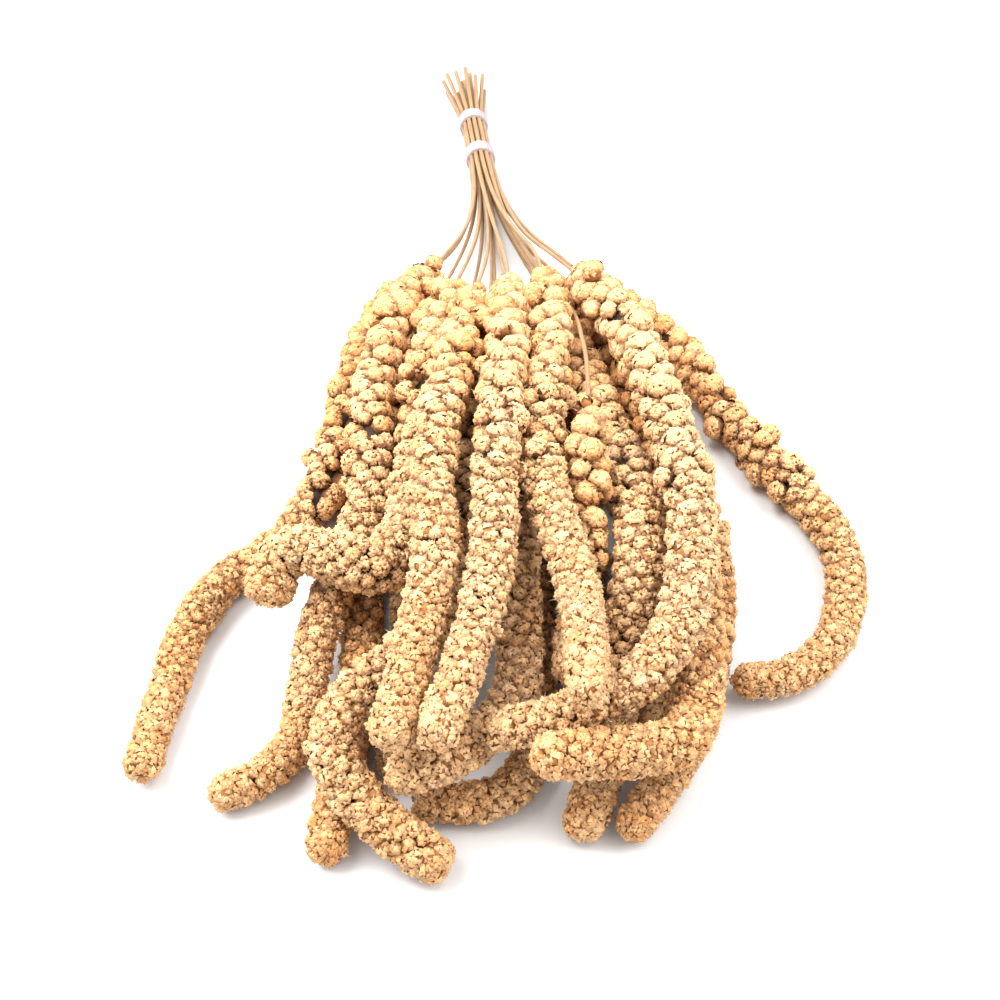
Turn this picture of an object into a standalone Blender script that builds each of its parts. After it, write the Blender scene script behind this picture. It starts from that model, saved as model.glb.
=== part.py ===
"""A tied bunch of dried foxtail millet that lies on a flat surface with its seed heads fanned out.

Each spray is a lobed seed head on a straw stalk. The stalks run back through two tie bands to their cut ends.
X is across the bunch, Y runs from the seed tips towards the cut ends and Z is up.
Sizes below are millimetres.
"""

import math

import bpy
import numpy as np

MM = 0.001
SEED = 41

# Seed heads
HEAD_RADIUS = 9.0  # to the tops of the lobes, where a head is thickest
BASE_SHARE, TIP_SHARE = 0.62, 0.78  # of HEAD_RADIUS at the base and just before the tip
SWELL_END, TAPER_START = 0.12, 0.60  # shares of a head's length
TAPER_POWER = 1.3  # above 1 the taper starts slowly
LOBES_ROUND = 5  # lobes in each turn of a head
LOBE_ROW = 8.0  # from one turn of lobes to the next, along the head
VALLEY_SHARE = 0.73  # of the radius, down between two lobes at the base
VALLEY_TIP_SHARE = 0.80  # and at the tip, where the lobes run together
LOBE_SCATTER = 0.10  # how far a lobe may fall short of the radius
TIP_LENGTH = 7.0  # of the blunt rounded end
TIP_RING = (0.62, 0.56)  # where the ring inside that end lies, and how wide it is
LOBE_SKEW = 0.16  # how far a lobe may lie to one side, of the step from lobe to valley

# Stalks
STALK_RADIUS = 1.35
STALK_SIDES = 6
STALK_STRIDE = 4  # points of the route for each turn of a stalk's faces
LEAVE_TIE, MEET_HEAD = 1.5, 0.6  # how long a stalk keeps the tie's direction, and takes up its head's

# Tie
TIE_X, TIE_Y = -11.0, 192.0  # where the axis of the bundle passes the nearer band
BUNDLE_LEAN = 0.105  # sideways run of the bundle's axis for each millimetre along Y
BAND_GAP = 42.0  # from one band to the other
BAND_WIDTH = 9.5
BAND_WALL = 1.0
STRAIGHT_RUN = 9.6  # past the middle of each band, where stalks still run straight
IN_TIE = 9.0  # past the middle of each band, where nothing settles
BAND_SIDES = 20
SEAT_PITCH = 3.04  # between stalks in one ring
RING_SHARE = 0.93  # of that pitch, from one ring to the next
SEAT_RINGS = (1, 6, 12)  # stalks in each ring of the bundle, from the middle out
CUT_LENGTH = 92.0  # from the nearer band to the middle of the cut ends
CUT_SCATTER = 11.0
CUT_SPREAD = 0.95  # how much wider the bundle is at its cut ends

# Fit between pieces
UPWARD = (0.31, 0.17, 0.94)  # a direction near Z that no route starts along
GAP = 0.3
CLEARANCE = 0.34
FLOOR_PRESS = 0.7  # lobes this near the surface are pressed flat on it

# Settling
ROUTE_STEP = 6.0
CURVE_STEPS = 24  # points between two places of a route, before they are spread evenly
STALK_CURVE = 40  # points on the curve of a stalk from the tie to its head
SETTLE_ROUNDS = 460
FINISH_ROUNDS = 240
PAIRS_EVERY, SMOOTH_EVERY = 8, 6  # rounds between searches for near pairs, and between the last smoothings
SMOOTH_PASSES, SMOOTHING = 3, 0.5  # of the moves along a spray
PUSH = 0.9  # share of an overlap that one round clears
RETURN = 0.004  # share of its way that a spray which hardly gives way goes back in a round
OWN_REACH = 2.6  # times two thicknesses: a head never meets itself nearer than this along its route
KEPT, SEEN, HIDDEN = 0.1, 0.35, 1.0  # how readily a spray gives way

# Each seed head: its name, how readily it gives way, how thick it is, and its route from base to tip
HEADS = (
    ("left_outer", SEEN, 0.94, (
        (-40, 50, 13), (-53, 30, 12), (-62, -14, 11), (-66, -62, 10), (-71, -102, 9), (-83, -130, 8),
        (-100, -150, 8), (-109, -172, 8), (-112, -206, 8), (-114, -234, 8))),
    ("left_inner", SEEN, 0.94, (
        (-28, 40, 28), (-38, 4, 32), (-45, -55, 32), (-43, -90, 31), (-41, -124, 30), (-45, -148, 27),
        (-51, -168, 25), (-57, -187, 20), (-60, -208, 12), (-63, -226, 8), (-71, -239, 8), (-81, -245, 8))),
    ("elbow", KEPT, 1.28, (
        (-17, 16, 28), (-24, -57, 30), (-26, -109, 31), (-28, -150, 34), (-38, -173, 37),
        (-52, -173, 39), (-64, -168, 39), (-72, -168, 37), (-76, -177, 29))),
    ("front_left", KEPT, 1.10, (
        (-6, 10, 26), (-11, -97, 26), (-17, -160, 26), (-31, -203, 28), (-45, -219, 28),
        (-53, -235, 27), (-53, -244, 25), (-47, -253, 20), (-36, -262, 13), (-22, -270, 8))),
    ("low_left", SEEN, 0.93, (
        (-31, 36, 10), (-43, -30, 9), (-51, -76, 9), (-53, -108, 9), (-51, -140, 9),
        (-48, -172, 9), (-44, -208, 8), (-47, -236, 8), (-48, -265, 8))),
    ("top_left", KEPT, 0.99, (
        (-8, -4, 42), (-13, -54, 48), (-20, -100, 52), (-23, -150, 53),
        (-21, -177, 53), (-22, -200, 52), (-26, -224, 50), (-32, -253, 46))),
    ("top_centre", KEPT, 0.97, (
        (3, -6, 46), (2, -62, 51), (0, -98, 56), (-2, -150, 58),
        (-2, -180, 57), (-5, -206, 55), (-10, -228, 52), (-18, -254, 48))),
    ("top_right", KEPT, 0.96, (
        (18, 4, 46), (20, -61, 49), (17, -89, 49), (16, -120, 49),
        (17, -150, 51), (22, -180, 53), (26, -212, 55), (26, -245, 56))),
    ("loose", SEEN, 0.84, (
        (27, -113, 60), (27, -127, 57), (28, -138, 50), (29, -148, 41),
        (28, -162, 35), (24, -184, 31), (20, -212, 29))),
    ("back_right", HIDDEN, 0.92, (
        (38, 12, 13), (43, -50, 12), (50, -100, 12), (52, -150, 11), (51, -195, 9), (50, -215, 8))),
    ("sweep", KEPT, 1.04, (
        (33, 2, 47), (46, -32, 50), (54, -62, 51), (61, -101, 50), (65, -145, 50), (64, -173, 49),
        (58, -204, 47), (49, -223, 45), (34, -235, 41), (15, -241, 37), (1, -244, 36))),
    ("inner_right", KEPT, 1.05, (
        (22, 10, 30), (34, -60, 33), (44, -112, 36), (47, -150, 38),
        (44, -180, 35), (40, -201, 26), (35, -222, 15), (30, -243, 9), (25, -256, 8))),
    ("right_outer", SEEN, 0.93, (
        (41, 30, 26), (57, 0, 22), (67, -45, 13), (75, -90, 11), (81, -130, 10), (82, -160, 9),
        (79, -190, 8), (72, -217, 8), (60, -240, 8), (48, -258, 8))),
    ("front_right", KEPT, 1.10, (
        (33, 25, 28), (43, 0, 32), (55, -45, 32), (64, -100, 30), (68, -150, 30), (66, -190, 29),
        (63, -221, 28), (56, -243, 31), (43, -251, 35), (29, -255, 38), (15, -259, 42))),
    ("right_loop", SEEN, 0.95, (
        (46, 42, 17), (62, 18, 15), (76, -2, 13), (84, -22, 12), (90, -41, 11), (96, -57, 10),
        (104, -76, 9), (115, -98, 8), (124, -123, 8), (124, -149, 8), (115, -176, 8), (102, -191, 8),
        (91, -197, 8), (80, -198, 8))),
    ("crossing", SEEN, 1.02, (
        (-2, 9, 30), (6, -54, 30), (8, -101, 30), (4, -152, 31), (4, -183, 30), (6, -208, 28),
        (3, -227, 27), (-6, -241, 28), (-17, -252, 29), (-29, -256, 28))),
    ("centre_low", HIDDEN, 0.95, (
        (20, 34, 12), (25, -77, 12), (30, -143, 11), (29, -185, 9), (26, -212, 8))),
    ("shadowed", HIDDEN, 0.95, (
        (-4, 24, 11), (6, -75, 10), (11, -151, 9), (13, -199, 9),
        (13, -226, 8), (5, -244, 8), (-8, -249, 8), (-20, -249, 8))),
    ("under_left", HIDDEN, 0.92, (
        (-14, 38, 12), (-26, -76, 9), (-32, -130, 9), (-33, -160, 9), (-30, -196, 8), (-34, -232, 8))),
)

SEED_GOLD = (0.565, 0.335, 0.135, 1.0)
STRAW = (0.720, 0.510, 0.270, 1.0)
TIE_WHITE = (0.820, 0.760, 0.740, 1.0)


def unit(vectors):
    """The vectors at length one."""
    lengths = np.linalg.norm(vectors, axis=-1, keepdims=True)
    return vectors / np.maximum(lengths, 1e-9)


def even_route(points, step):
    """Points about a step apart on a smooth curve through the given ones."""
    knots = np.array(points, float)
    ends = 2 * knots[[0, -1]] - knots[[1, -2]]
    knots = np.vstack([ends[:1], knots, ends[1:]])
    share = np.linspace(0, 1, CURVE_STEPS, endpoint=False)[:, None]
    dense = []
    for a, b, c, d in zip(knots, knots[1:], knots[2:], knots[3:]):
        bend = 2 * a - 5 * b + 4 * c - d
        twist = 3 * b - a - 3 * c + d
        dense.append(b + 0.5 * ((c - a) * share + bend * share**2 + twist * share**3))
    return resample(np.vstack(dense + [knots[-2:-1]]), step)


def resample(points, step):
    """The same curve, with its points spread evenly at about the step."""
    run = np.concatenate([[0], np.cumsum(np.linalg.norm(np.diff(points, axis=0), axis=1))])
    count = max(2, round(run[-1] / step) + 1)
    stops = np.linspace(0, run[-1], count)
    return np.column_stack([np.interp(stops, run, points[:, axis]) for axis in range(3)])


def head_radius(share, girth):
    """The radius to the tops of the lobes, at a share of the head's length from its base."""
    swell = np.clip(share / SWELL_END, 0, 1)
    taper = np.clip((share - TAPER_START) / (1 - TAPER_START), 0, 1)
    rise = BASE_SHARE + (1 - BASE_SHARE) * np.sin(swell * math.pi / 2)
    return HEAD_RADIUS * girth * (rise - (1 - TIP_SHARE) * taper**TAPER_POWER)


def bundle_axis(y):
    """The middle of the bundle of stalks where it crosses the given Y."""
    height = seat_radius(len(SEAT_RINGS) - 1) + STALK_RADIUS + GAP + BAND_WALL
    return np.array([TIE_X - BUNDLE_LEAN * (y - TIE_Y), y, height])


def seat_radius(ring):
    """The radius of a ring of stalks in the bundle."""
    radius = 0.0
    for stalks in SEAT_RINGS[1:ring + 1]:
        radius = max(radius + RING_SHARE * SEAT_PITCH, SEAT_PITCH / (2 * math.sin(math.pi / stalks)))
    return radius


def seats():
    """Places of the stalks across the bundle as X and Z offsets, those of one ring after the other."""
    places = []
    for ring, stalks in enumerate(SEAT_RINGS):
        for turn in range(stalks):
            angle = 2 * math.pi * (turn + 0.5 * (ring % 2)) / stalks - math.pi / 2
            places.append(seat_radius(ring) * np.array([math.cos(angle), math.sin(angle)]))
    return np.array(places)


def seat_order(bases):
    """The seat of each spray, with the outer sprays round the bundle as their bases lie round the pile."""
    aside = (bases - bases.mean(axis=0)) / bases.std(axis=0)
    by_distance = np.argsort(np.hypot(*aside.T), kind="stable")
    places = seats()
    order = np.zeros(len(bases), int)
    first = 0
    for stalks in SEAT_RINGS:
        ring = by_distance[first:first + stalks]
        ring = ring[np.argsort(np.arctan2(aside[ring, 1], aside[ring, 0]), kind="stable")]
        slots = np.arange(first, first + stalks)
        shifts = [np.roll(slots, shift) for shift in range(stalks)]
        order[ring] = min(shifts, key=lambda slots: np.sum((unit(places[slots]) - unit(aside[ring])) ** 2))
        first += stalks
    return order


def stalk_route(seat, base, lead, cut):
    """Points from the cut end of a stalk through its seat in the tie to the base of its head."""
    far = BAND_GAP + STRAIGHT_RUN
    offset = np.array([seat[0], 0, seat[1]])
    near_end = bundle_axis(TIE_Y - STRAIGHT_RUN) + offset
    far_end = bundle_axis(TIE_Y + far) + offset
    spread = (cut - far) / (CUT_LENGTH - far) * CUT_SPREAD
    tail = bundle_axis(TIE_Y + cut) + offset * (1 + spread)
    tail[2] = max(tail[2], STALK_RADIUS + GAP)
    forward = unit(bundle_axis(0) - bundle_axis(1))
    reach = np.linalg.norm(base - near_end)
    t = np.linspace(0, 1, STALK_CURVE)[:, None]
    curve = (
        (2 * t**3 - 3 * t**2 + 1) * near_end + (t**3 - 2 * t**2 + t) * LEAVE_TIE * reach * forward
        + (3 * t**2 - 2 * t**3) * base + (t**3 - t**2) * MEET_HEAD * reach * lead
    )
    return resample(np.vstack([tail, far_end, curve]), ROUTE_STEP)


def in_tie(points):
    """Which points lie between the outer edges of the bands, or just past them."""
    return (points[:, 1] > TIE_Y - IN_TIE) & (points[:, 1] < TIE_Y + BAND_GAP + IN_TIE)


def lay_out():
    """The route of every spray before it settles, as dictionaries of points, radii and ease of giving way."""
    rng = np.random.default_rng(SEED)
    heads = [even_route(route, ROUTE_STEP) for _, _, _, route in HEADS]
    order = seat_order(np.array([head[0][[0, 2]] for head in heads]))
    places = seats()
    sprays = []
    for (name, ease, girth, _), head, seat in zip(HEADS, heads, order):
        lead = unit(head[1] - head[0])
        cut = CUT_LENGTH + rng.uniform(-CUT_SCATTER, CUT_SCATTER)
        stalk = stalk_route(places[seat], head[0], lead, cut)
        share = np.linspace(0, 1, len(head))
        radii = np.concatenate([np.full(len(stalk) - 1, STALK_RADIUS), head_radius(share, girth)])
        sprays.append({
            "name": name, "girth": girth, "base": len(stalk) - 1, "ease": ease,
            "points": np.vstack([stalk[:-1], head]), "radii": radii,
        })
    return sprays


def near_pairs(points, radii, owner, place):
    """Pairs of segments that lie near enough to touch, apart from neighbours in one spray."""
    first = np.flatnonzero(owner[:-1] == owner[1:])
    middle = (points[first] + points[first + 1]) / 2
    reach = np.maximum(radii[first], radii[first + 1]) + ROUTE_STEP
    rows, columns = np.triu_indices(len(first), 1)
    apart = np.linalg.norm(middle[rows] - middle[columns], axis=1)
    close = apart < reach[rows] + reach[columns]
    a, b = first[rows[close]], first[columns[close]]
    own = owner[a] == owner[b]
    along = (place[b] - place[a]) * ROUTE_STEP
    return np.array([a, b]).T[~own | (along > OWN_REACH * (radii[a] + radii[b]))]


def closest(points, pairs):
    """Where the two segments of each pair come nearest, as shares along them."""
    a, b = pairs.T
    along_a, along_b = points[a + 1] - points[a], points[b + 1] - points[b]
    back = points[a] - points[b]
    aa, bb = (along_a**2).sum(1), (along_b**2).sum(1)
    ab, ar, br = (along_a * along_b).sum(1), (along_a * back).sum(1), (along_b * back).sum(1)
    s = np.clip((ab * br - ar * bb) / np.maximum(aa * bb - ab**2, 1e-6), 0, 1)
    t = np.clip((ab * s + br) / bb, 0, 1)
    s = np.clip((ab * t - ar) / aa, 0, 1)
    return s, t


def push_apart(points, radii, give, pairs):
    """The move of each point that clears the pairs of segments that overlap."""
    s, t = closest(points, pairs)
    a, b = pairs.T
    s, t = s[:, None], t[:, None]
    between = (points[a] * (1 - s) + points[a + 1] * s) - (points[b] * (1 - t) + points[b + 1] * t)
    distance = np.linalg.norm(between, axis=1)
    wanted = (
        radii[a] * (1 - s[:, 0]) + radii[a + 1] * s[:, 0]
        + radii[b] * (1 - t[:, 0]) + radii[b + 1] * t[:, 0] + CLEARANCE
    )
    hit = distance < wanted
    a, b, s, t = a[hit], b[hit], s[hit], t[hit]
    push = unit(between[hit] + 1e-6) * (wanted - distance)[hit][:, None]
    yield_a, yield_b = give[a][:, None], give[b][:, None]
    total = np.maximum(yield_a + yield_b, 1e-6)
    moves, counts = np.zeros_like(points), np.full(len(points), 1e-9)
    for ends, weights, sign, own in (
        (a, 1 - s, 1, yield_a), (a + 1, s, 1, yield_a), (b, 1 - t, -1, yield_b), (b + 1, t, -1, yield_b),
    ):
        np.add.at(moves, ends, sign * push * weights * own / total)
        np.add.at(counts, ends, weights[:, 0])
    return moves / np.maximum(counts, 1)[:, None]


def ease_out(moved, owner):
    """The moves, evened out along each spray so that no kink is left."""
    inner = np.flatnonzero((owner[1:-1] == owner[:-2]) & (owner[1:-1] == owner[2:])) + 1
    for _ in range(SMOOTH_PASSES):
        moved[inner] += SMOOTHING * ((moved[inner - 1] + moved[inner + 1]) / 2 - moved[inner])
    tips = np.append(np.flatnonzero(owner[1:] != owner[:-1]), len(owner) - 1)
    moved[tips] = moved[tips - 1]
    return moved


def settle(sprays):
    """Moves the sprays until none touches another or reaches below the surface."""
    points = np.vstack([spray["points"] for spray in sprays])
    radii = np.concatenate([spray["radii"] for spray in sprays])
    owner = np.repeat(np.arange(len(sprays)), [len(spray["radii"]) for spray in sprays])
    place = np.concatenate([np.arange(len(spray["radii"])) for spray in sprays])
    give = np.concatenate([np.full(len(spray["radii"]), spray["ease"]) for spray in sprays])
    tied = in_tie(points)
    give[tied] = 1e-6
    start = points.copy()
    for turn in range(SETTLE_ROUNDS + FINISH_ROUNDS):
        if turn % PAIRS_EVERY == 0:
            pairs = near_pairs(points, radii, owner, place)
        points = points + PUSH * push_apart(points, radii, give, pairs)
        points[:, 2] = np.maximum(points[:, 2], radii)
        moved = points - start
        if turn < SETTLE_ROUNDS:
            moved = ease_out(moved * (1 - RETURN * (1 - give[:, None])), owner)
        elif turn % SMOOTH_EVERY == 0:
            moved = ease_out(moved, owner)
        moved[tied] = 0
        points = start + moved
    for spray, first in zip(sprays, np.flatnonzero(place == 0)):
        spray["points"] = points[first:first + len(spray["radii"])]
    return sprays


def ring_frames(points):
    """Two directions across the route at each point, carried along it without twisting."""
    along = unit(np.gradient(points, axis=0))
    side = unit(np.cross(along[0], UPWARD))
    sides = []
    for direction in along:
        side = unit(side - direction * (side @ direction))
        sides.append(side)
    sides = np.array(sides)
    return sides, np.cross(along, sides)


def make_solid(name, rings, start_pole, end_pole, colour, roughness):
    """One closed object from rings of points, each with as many points, and a pole at either end."""
    count, sides = len(rings), len(rings[0])
    vertices = np.vstack([start_pole, *rings, end_pole]) * MM
    first = 1 + sides * (count - 1)
    faces = []
    for j in range(sides):
        k = (j + 1) % sides
        faces.append((0, 1 + k, 1 + j))
        faces.append((len(vertices) - 1, first + j, first + k))
        for i in range(count - 1):
            a, b = 1 + i * sides + j, 1 + i * sides + k
            c, d = b + sides, a + sides
            faces += [(a, b, c), (a, c, d)] if (i + j) % 2 else [(a, b, d), (b, c, d)]
    mesh = bpy.data.meshes.new(name)
    mesh.from_pydata(vertices.tolist(), [], faces)
    mesh.validate()
    obj = bpy.data.objects.new(name, mesh)
    obj.data.materials.append(plain_material(name, colour, roughness))
    bpy.context.scene.collection.objects.link(obj)
    return obj


def plain_material(name, colour, roughness):
    """A Principled material in one colour."""
    material = bpy.data.materials.new(name)
    material.use_nodes = True
    shader = material.node_tree.nodes["Principled BSDF"]
    shader.inputs["Base Color"].default_value = colour
    shader.inputs["Roughness"].default_value = roughness
    shader.inputs["Metallic"].default_value = 0.0
    return material


def lobed_head(spray, rng):
    """The seed head: turns of lobes, each set between those of the turn before, and a blunt tip."""
    route = spray["points"][spray["base"]:]
    points = resample(route, LOBE_ROW)
    share = np.linspace(0, 1, len(points))
    radii = head_radius(share, spray["girth"])
    u, v = ring_frames(points)
    columns = np.arange(2 * LOBES_ROUND)
    rings = []
    for row, (middle, radius) in enumerate(zip(points, radii)):
        lobe = (columns + row) % 2 == 0
        valley = VALLEY_SHARE + (VALLEY_TIP_SHARE - VALLEY_SHARE) * share[row]
        reach = np.where(lobe, 1 - rng.uniform(0, LOBE_SCATTER, len(columns)), valley)
        angle = math.pi * (columns + rng.uniform(-LOBE_SKEW, LOBE_SKEW, len(columns))) / LOBES_ROUND
        out = np.cos(angle)[:, None] * u[row] + np.sin(angle)[:, None] * v[row]
        rings.append(middle + out * (radius * reach)[:, None])
    ahead = unit(points[-1] - points[-2])
    behind = unit(points[0] - points[1])
    rings.append(points[-1] + ahead * TIP_LENGTH * TIP_RING[0] + (rings[-1] - points[-1]) * TIP_RING[1])
    rings = [press_down(ring) for ring in rings]
    start = points[0] + behind * GAP
    end = press_down((points[-1] + ahead * TIP_LENGTH)[None])[0]
    return make_solid("head_" + spray["name"], rings, start, end, SEED_GOLD, 0.85)


def press_down(points):
    """The points, with those that nearly reach the surface laid flat on it."""
    pressed = points.copy()
    pressed[:, 2] = np.where(points[:, 2] < FLOOR_PRESS, 0.0, points[:, 2])
    return pressed


def straw_stalk(spray):
    """The stalk from its cut end to just below the head, straight where it runs through the tie."""
    route = spray["points"][:spray["base"] + 1].copy()
    route[-1] -= unit(route[-1] - route[-2]) * 2 * GAP
    tied = np.flatnonzero(in_tie(route))
    rows = [0, *range(tied[0] - 1, 1, -STALK_STRIDE)][::-1] + [tied[0], tied[-1]]
    rows += [*range(tied[-1] + 2, spray["base"] - 2, STALK_STRIDE), spray["base"]]
    points = route[sorted(set(rows))]
    u, v = ring_frames(points)
    angles = 2 * math.pi * np.arange(STALK_SIDES) / STALK_SIDES
    rings = []
    for row, middle in enumerate(points):
        out = np.cos(angles)[:, None] * u[row] + np.sin(angles)[:, None] * v[row]
        rings.append(middle + out * STALK_RADIUS)
    return make_solid("stalk_" + spray["name"], rings, points[0], points[-1], STRAW, 0.6)


def tie_band(name, y):
    """A flat band round the bundle, square to its axis and lying on the surface along one side."""
    bundle = seat_radius(len(SEAT_RINGS) - 1) + STALK_RADIUS
    inner = bundle + 1.5 * GAP
    outer = (bundle + GAP + BAND_WALL) / math.cos(math.pi / BAND_SIDES)
    middle = bundle_axis(y)
    along = unit(bundle_axis(1) - bundle_axis(0))
    across = unit(np.cross(along, (0, 0, 1)))
    angles = 2 * math.pi * (np.arange(BAND_SIDES) + 0.5) / BAND_SIDES
    out = np.cos(angles)[:, None] * across + np.sin(angles)[:, None] * np.array([0, 0, 1])
    edges = (
        (outer, -BAND_WIDTH / 2), (outer, BAND_WIDTH / 2), (inner, BAND_WIDTH / 2), (inner, -BAND_WIDTH / 2),
    )
    loops = np.array([middle + out * radius + along * run for radius, run in edges])
    faces = []
    for edge in range(len(edges)):
        other = (edge + 1) % len(edges)
        for j in range(BAND_SIDES):
            k = (j + 1) % BAND_SIDES
            faces.append((edge * BAND_SIDES + k, edge * BAND_SIDES + j,
                          other * BAND_SIDES + j, other * BAND_SIDES + k))
    mesh = bpy.data.meshes.new(name)
    mesh.from_pydata((loops.reshape(-1, 3) * MM).tolist(), [], faces)
    obj = bpy.data.objects.new(name, mesh)
    obj.data.materials.append(plain_material(name, TIE_WHITE, 0.55))
    bpy.context.scene.collection.objects.link(obj)
    return obj


def set_down(objects):
    """Moves the bunch so that the origin lies under the middle of its box, on the surface."""
    corners = np.array([vertex.co[:] for obj in objects for vertex in obj.data.vertices])
    low, high = corners.min(axis=0), corners.max(axis=0)
    shift = np.array([(low[0] + high[0]) / 2, (low[1] + high[1]) / 2, low[2]])
    for obj in objects:
        for vertex in obj.data.vertices:
            vertex.co = np.array(vertex.co) - shift


def build():
    """Clears the scene and makes every piece of the bunch."""
    for obj in list(bpy.data.objects):
        bpy.data.objects.remove(obj)
    rng = np.random.default_rng(SEED)
    sprays = settle(lay_out())
    objects = [lobed_head(spray, rng) for spray in sprays]
    objects += [straw_stalk(spray) for spray in sprays]
    objects.append(tie_band("tie_near", TIE_Y))
    objects.append(tie_band("tie_far", TIE_Y + BAND_GAP))
    set_down(objects)


build()
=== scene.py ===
"""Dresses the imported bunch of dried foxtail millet.

Each seed head becomes clusters of hulled grains with short bristles, along the middle line of its solid.
The stalks become ribbed straw with joints, and the two bands become tape drawn tight over the stalks.
"""

import math

import bmesh
import bpy
import numpy as np
from mathutils import Matrix, Vector, noise


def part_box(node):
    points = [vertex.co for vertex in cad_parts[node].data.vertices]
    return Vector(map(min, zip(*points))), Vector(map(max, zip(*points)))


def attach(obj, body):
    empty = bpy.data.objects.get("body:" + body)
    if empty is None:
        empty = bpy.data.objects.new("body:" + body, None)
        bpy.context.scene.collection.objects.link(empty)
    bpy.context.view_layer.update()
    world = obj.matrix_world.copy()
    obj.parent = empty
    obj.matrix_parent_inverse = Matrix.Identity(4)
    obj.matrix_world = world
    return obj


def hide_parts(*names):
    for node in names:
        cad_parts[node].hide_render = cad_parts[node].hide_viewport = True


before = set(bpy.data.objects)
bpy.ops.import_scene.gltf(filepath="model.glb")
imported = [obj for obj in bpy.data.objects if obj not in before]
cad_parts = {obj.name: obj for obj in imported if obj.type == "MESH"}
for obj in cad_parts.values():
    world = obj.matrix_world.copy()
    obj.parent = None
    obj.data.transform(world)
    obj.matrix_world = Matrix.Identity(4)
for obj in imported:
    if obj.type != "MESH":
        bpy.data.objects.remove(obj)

MM = 0.001
HEADS = sorted(name[len("head_"):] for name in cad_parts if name.startswith("head_"))
TIES = ("tie_near", "tie_far")
HEAD_SEED, STALK_SEED = 100, 300  # of the chance draws of the first head and the first stalk

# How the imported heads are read
WELD = 0.01 * MM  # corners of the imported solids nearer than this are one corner
POLE_EDGES = 10  # edges that meet at either end of a packed head
STALK_CORNERS = 6  # round a packed stalk
LINE_STEP, STALK_STEP = 1.0 * MM, 4.0 * MM  # between points of a smoothed middle line
CURVE_PARTS = 12  # of a smooth curve between two of its points
START_CAP = 4.0 * MM  # of the rounded end of a head at its stalk
FIRST_SIDE = (0.31, 0.17, 0.94)  # no head or stalk starts out this way, so it gives the first way across
UPRIGHT = 0.9  # a direction whose height is over this is nearly upright

# Clusters of grains on a head
WIDEST_UNTIL, NARROWEST_FROM = 0.28, 0.92  # shares of a head's length between which clusters grow smaller
GOLDEN_ANGLE = math.pi * (3 - math.sqrt(5))  # from one cluster to the next round the head
TURN_SCATTER = 0.1  # radians, in that angle
PACKED = 0.866  # of the square of the spacing, which one place takes up in close packing
EASE_ROUNDS, EASE_STEP = 14, 0.25  # in which crowded clusters move apart, and how much of the way each time
CROWDED = 0.94  # of the room of two clusters, nearer than which they crowd each other
END_MARGIN = 0.5 * MM  # of the ends of a head, where no cluster sits
LEAST_RADIUS = 2 * MM  # of a head, where a cluster moves round it
FULLNESS = (0.48, 0.50, 0.66)  # half a cluster's width, as a share of its room
FULLNESS_AT = (0.0, 0.5, 0.9)  # at these shares of a head's length
WIDEST_SHARE, THIN_HEAD = 0.75, 3.5 * MM  # the widest cluster as a share of the head's radius or of this one
LONG_UNTIL = 0.55  # share of a head's length up to which clusters are drawn out
LONGEST = 1.35  # times as long as wide, at the base of a head
LENGTH_RANGE = (0.5, 1.3)  # of the share of that which each cluster gets
LEAN = 0.55  # how far a cluster points towards the tip, at the base of a head
AIM_SCATTER = 0.16  # how unevenly clusters point
SIZE_SCATTER, SIZE_RANGE = 0.15, (0.75, 1.25)  # of the widths of clusters
HEIGHT_SCATTER = 0.55 * MM  # how far clusters stand above or below each other at the base
HEIGHT_CALM = 0.6  # of that is gone at the tip
STRAY_SHARE = 0.14  # of the clusters near the base stand out from the head
STRAY_REACH, STRAY_RANGE = 4.4 * MM, (0.4, 1.0)  # how far, and the share of it that each one does
LOST_SHARE = 0.05  # of the clusters near the base are missing

# Grains
GRAIN_SIDES = 3
LEAST_GRAINS = 8  # all round a cluster
AREA_POWER = 1.6  # in the usual formula for the area of a long ball
CLEAR_OF_NEXT = 0.93  # grains deeper than this share of a neighbouring cluster are left out
INWARD_LIMIT = 0.05  # grains facing further in than this are left out
GRAIN_TILT = 0.14  # how unevenly grains point
GRAIN_SCATTER = 0.10  # of the pitch
GRAIN_UNEVEN, GRAIN_RANGE = 0.10, (0.7, 1.3)  # in size
SUNK = 0.70  # of a grain's height, below the outside of its cluster
ROUNDNESS = 1.7  # how far the shading of a grain turns outwards at its foot
LEAST_LIFT = 0.5 * MM  # of the middle of a grain above the surface
TUFT_SIZE = 2.6 * MM  # of the few grains that stand up together
TUFT_RELIEF, TUFT_EVEN = 0.8 * MM, 0.4  # how much its middle stands up, and where in it that is nothing
PIT_WITHIN = 0.075  # of a tuft from its edge, where a grain is missing
FINE_FROM = 0.55  # share of a head's length from which its relief is full
SMOOTHEST = 0.30  # share of its relief that a head still has at its base
BASE_SPREAD = 0.36  # how much broader grains are there, where they lie flat
KNOB_DEPTH, KNOB_UNEVEN = 0.55 * MM, 0.04  # of the bare middle of a cluster below its outside
STEM_SHARE, STEM_SIDES, STEM_STEP = 0.45, 8, 6.0 * MM  # of the bare middle of a head
STEM_LEAST = 1.2 * MM  # its radius in a thin tip
BRISTLE_TILT, BRISTLE_RANGE = 0.35, (0.55, 1.0)  # how far bristles lean, and their lengths as shares
BRISTLE_BEND = 0.18  # of its length, sideways at its tip

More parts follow.
